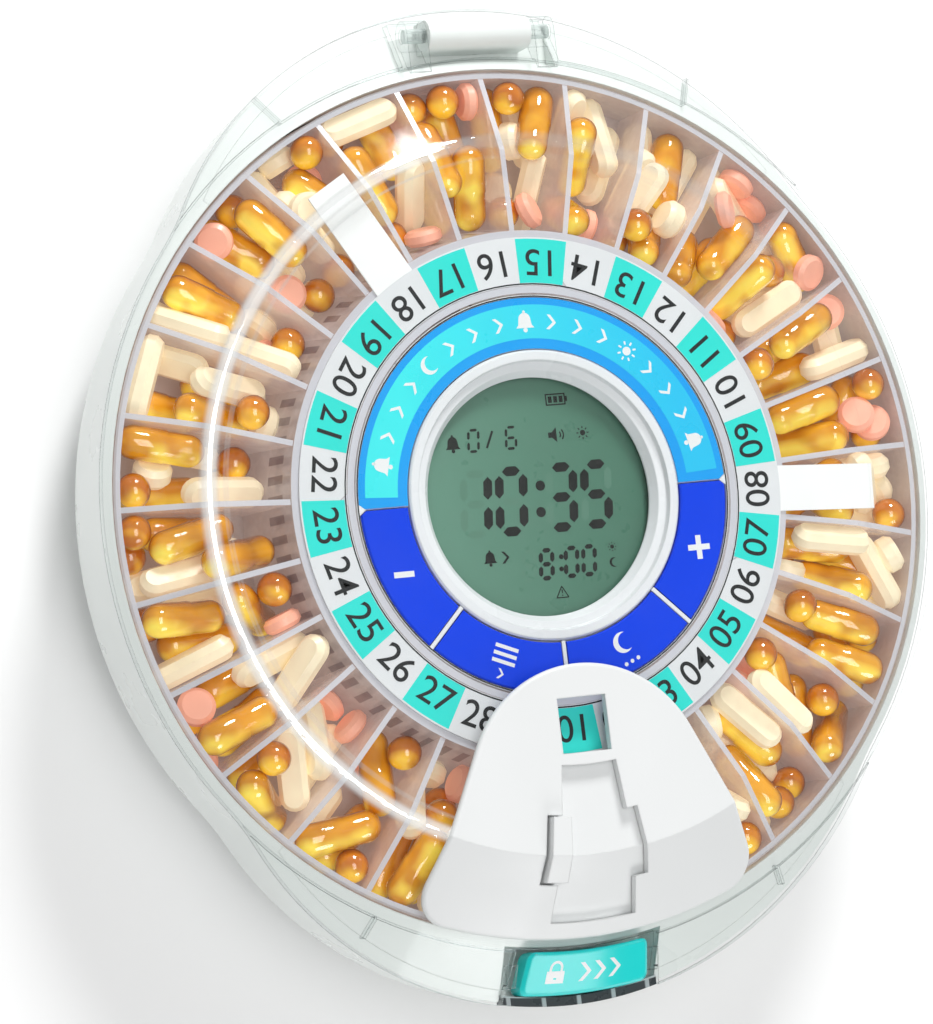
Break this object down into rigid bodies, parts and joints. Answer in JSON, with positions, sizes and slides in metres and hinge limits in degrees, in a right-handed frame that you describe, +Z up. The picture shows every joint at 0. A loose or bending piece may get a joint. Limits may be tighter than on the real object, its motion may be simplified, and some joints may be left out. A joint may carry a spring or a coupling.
{
  "type": "automatic pill dispenser",
  "caption": "Round automatic pill dispenser: motor-driven carousel of compartments under a clear hinged lid with a slide door, LCD and keys in the middle.",
  "frame": {"origin": "on the table, on the carousel's axis, under the middle of the case", "axes": "+Z up along the carousel's axis, -Y towards the latch, +Y towards the hinge, +X to the right seen from the latch side"},
  "size_m": [0.194, 0.2188, 0.055],
  "materials": {
    "shell_white": "satin moulded ABS",
    "inner_white": "moulded ABS",
    "cover_white": "satin moulded ABS",
    "clear_lid": "polished clear polycarbonate",
    "tray_clear": "translucent smoke plastic",
    "card": "printed card",
    "key_blue": "satin print on plastic",
    "banner_cyan": "satin printed film",
    "latch_turquoise": "gloss moulded plastic",
    "bezel_white": "satin moulded plastic",
    "lens_clear": "clear window",
    "lcd_green": "liquid crystal panel",
    "board_green": "coated circuit board",
    "part_black": "moulded black plastic",
    "trim_grey": "moulded dark grey plastic",
    "nylon": "unfilled nylon",
    "steel": "plated steel",
    "brass": "sintered bronze",
    "motor_can": "zinc-plated steel can",
    "cell_wrap": "printed foil sleeve",
    "rubber": "matt rubber"
  },
  "bodies": {
    "base": {"base_shell": "shell_white", "latch_deck": "shell_white", "hinge_deck": "shell_white", "chassis_plate": "inner_white", "chassis_screws": "steel", "bottom_cover": "inner_white", "cover_screws": "steel", "rubber_feet": "rubber", "battery_box": "inner_white", "batteries": "cell_wrap", "battery_contacts": "steel", "module_housing": "bezel_white", "module_screws": "steel", "banner_label": "banner_cyan", "display_bezel": "bezel_white", "display_lens": "lens_clear", "lcd_panel": "lcd_green", "main_board": "board_green", "key_switches": "part_black", "buzzer": "part_black", "drive_motor": "motor_can", "shaft_bush": "brass", "index_sensor": "part_black", "hinge_cover": "clear_lid", "hinge_pin": "shell_white", "latch_trim": "trim_grey", "latch_springs": "steel"},
    "tray": {"tray_floor": "tray_clear", "tray_outer_wall": "tray_clear", "tray_hub": "tray_clear", "tray_dividers": "tray_clear", "ring_gear": "nylon", "number_ring": "card", "label_strips": "card"},
    "drive": {"drive_pinion": "nylon", "reduction_gear": "nylon", "drive_shaft": "steel"},
    "motor_shaft": {"motor_gear": "brass"},
    "lid": {"lid": "clear_lid", "sector_cover": "cover_white", "door_guides": "cover_white"},
    "door": {"slide_door": "cover_white"},
    "latch": {"latch_button": "latch_turquoise"},
    "minus_key": {"minus_key": "key_blue"},
    "menu_key": {"menu_key": "key_blue"},
    "sleep_key": {"sleep_key": "key_blue"},
    "plus_key": {"plus_key": "key_blue"},
    "battery_door": {"battery_door": "inner_white"}
  },
  "joints": [
    {"name": "tray_spin", "type": "hinge", "parent": "base", "child": "tray", "pos_m": [0, 0, 0.024], "axis": [0, 0, 1], "continuous": true},
    {"name": "drive_spin", "type": "hinge", "parent": "base", "child": "drive", "pos_m": [0, 0.04312, 0.024], "axis": [0, 0, 1], "continuous": true},
    {"name": "motor_spin", "type": "hinge", "parent": "base", "child": "motor_shaft", "pos_m": [0, 0.02233, 0.016], "axis": [0, 0, 1], "continuous": true},
    {"name": "lid_swing", "type": "hinge", "parent": "base", "child": "lid", "pos_m": [0, 0.1025, 0.039], "axis": [-1, 0, 0], "range_deg": [0, 105]},
    {"name": "door_slide", "type": "hinge", "parent": "lid", "child": "door", "pos_m": [0, 0, 0.048], "axis": [0, 0, 1], "range_deg": [0, 12.5]},
    {"name": "latch_press", "type": "slide", "parent": "base", "child": "latch", "axis": [0, 0, -1], "range_m": [0, 0.0025], "stiffness_N_per_m": 800, "springref_m": -0.001, "deforming": ["latch_springs"]},
    {"name": "minus_press", "type": "slide", "parent": "base", "child": "minus_key", "axis": [0, 0, -1], "range_m": [0, 0.0006], "stiffness_N_per_m": 1200, "springref_m": -0.0003},
    {"name": "menu_press", "type": "slide", "parent": "base", "child": "menu_key", "axis": [0, 0, -1], "range_m": [0, 0.0006], "stiffness_N_per_m": 1200, "springref_m": -0.0003},
    {"name": "sleep_press", "type": "slide", "parent": "base", "child": "sleep_key", "axis": [0, 0, -1], "range_m": [0, 0.0006], "stiffness_N_per_m": 1200, "springref_m": -0.0003},
    {"name": "plus_press", "type": "slide", "parent": "base", "child": "plus_key", "axis": [0, 0, -1], "range_m": [0, 0.0006], "stiffness_N_per_m": 1200, "springref_m": -0.0003},
    {"name": "battery_door_swing", "type": "hinge", "parent": "base", "child": "battery_door", "pos_m": [0, -0.0116, 0.0021], "axis": [1, 0, 0], "range_deg": [0, 80]}
  ],
  "couplings": [
    {"joint": "drive_spin", "follows": "tray_spin", "ratio": 7.25},
    {"joint": "motor_spin", "follows": "tray_spin", "ratio": -24.167}
  ]
}
